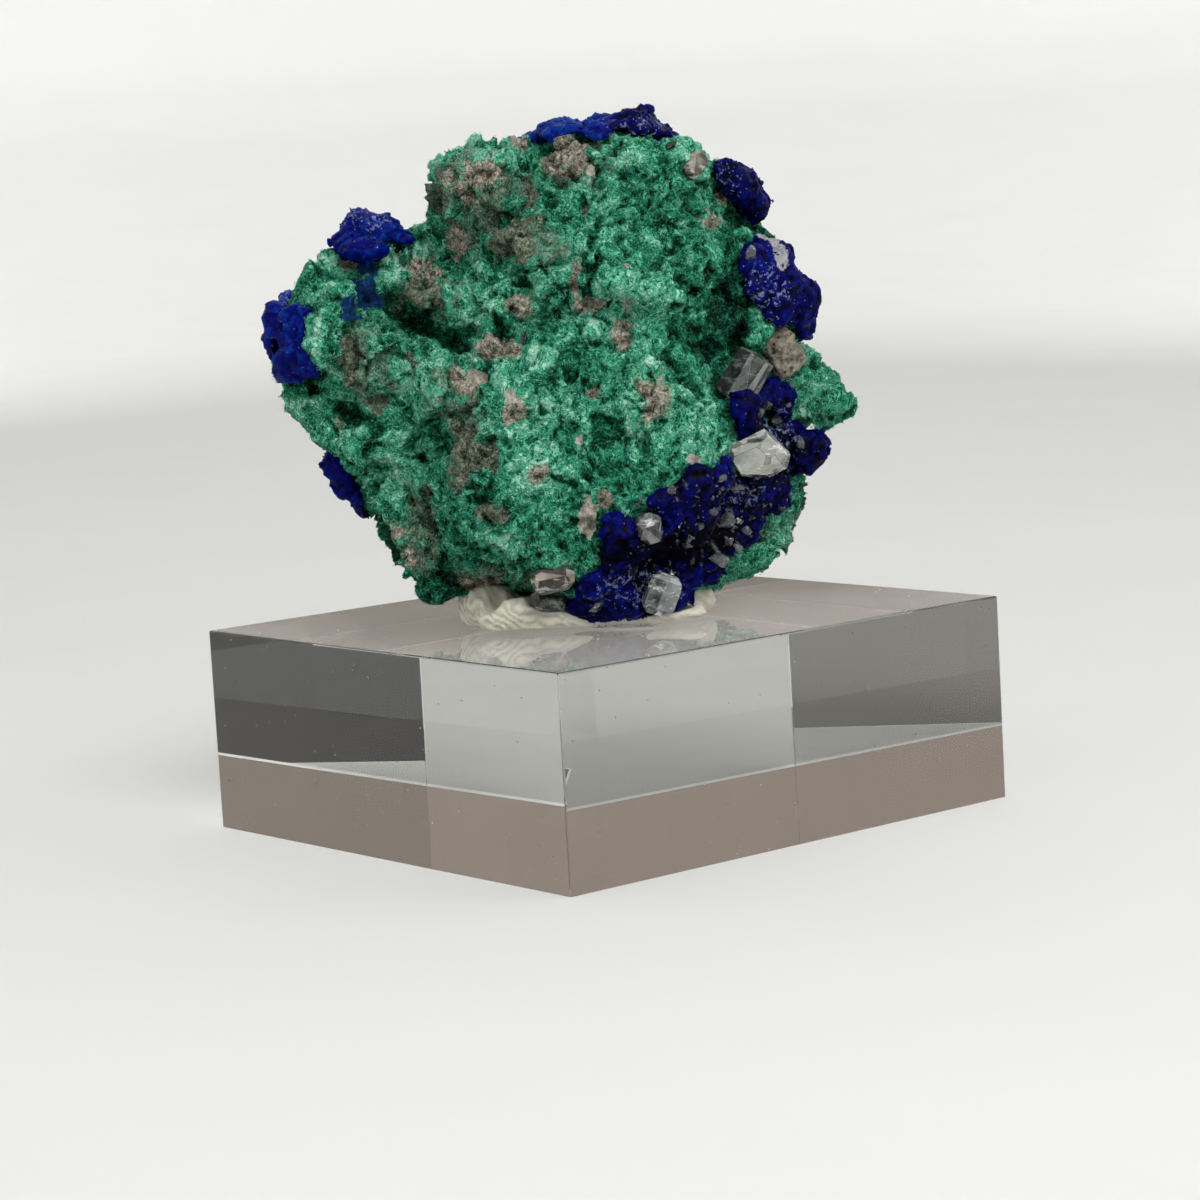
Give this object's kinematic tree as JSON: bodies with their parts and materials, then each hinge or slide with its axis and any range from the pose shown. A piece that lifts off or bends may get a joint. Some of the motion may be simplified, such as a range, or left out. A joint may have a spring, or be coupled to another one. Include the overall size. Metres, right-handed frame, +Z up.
{
  "type": "azurite and malachite specimen on an acrylic block",
  "caption": "Rough green malachite mass with deep blue azurite crusts and clear quartz crystals, stuck with white putty to a clear square acrylic block for display.",
  "frame": {"origin": "centre of the acrylic block's underside", "axes": "+Z up; X and Y along the block's sides; the specimen's show face looks over the block's corner at -X, -Y"},
  "size_m": [0.05, 0.05, 0.0626],
  "materials": {
    "acrylic": "clear polished acrylic",
    "putty": "kneaded matt putty",
    "malachite": null,
    "azurite": null,
    "quartz": "clear to milky crystal",
    "sandstone": null
  },
  "bodies": {
    "root": {"acrylic_block": "acrylic", "mounting_putty": "putty", "malachite_mass": "malachite", "azurite_crust_lower_right": "azurite", "azurite_crust_upper_right": "azurite", "azurite_crust_shoulder": "azurite", "azurite_crust_crest": "azurite", "azurite_knob_upper_left": "azurite", "azurite_knob_left": "azurite", "azurite_crust_lower_left": "azurite", "azurite_crust_back": "azurite", "quartz_crystal_large": "quartz", "quartz_crystal_tabular": "quartz", "quartz_crystal_foot": "quartz", "quartz_crystal_small": "quartz", "quartz_grain_pink": "quartz", "quartz_grain_grey": "quartz", "quartz_grain_top": "quartz", "sandstone_grain": "sandstone"}
  },
  "joints": []
}
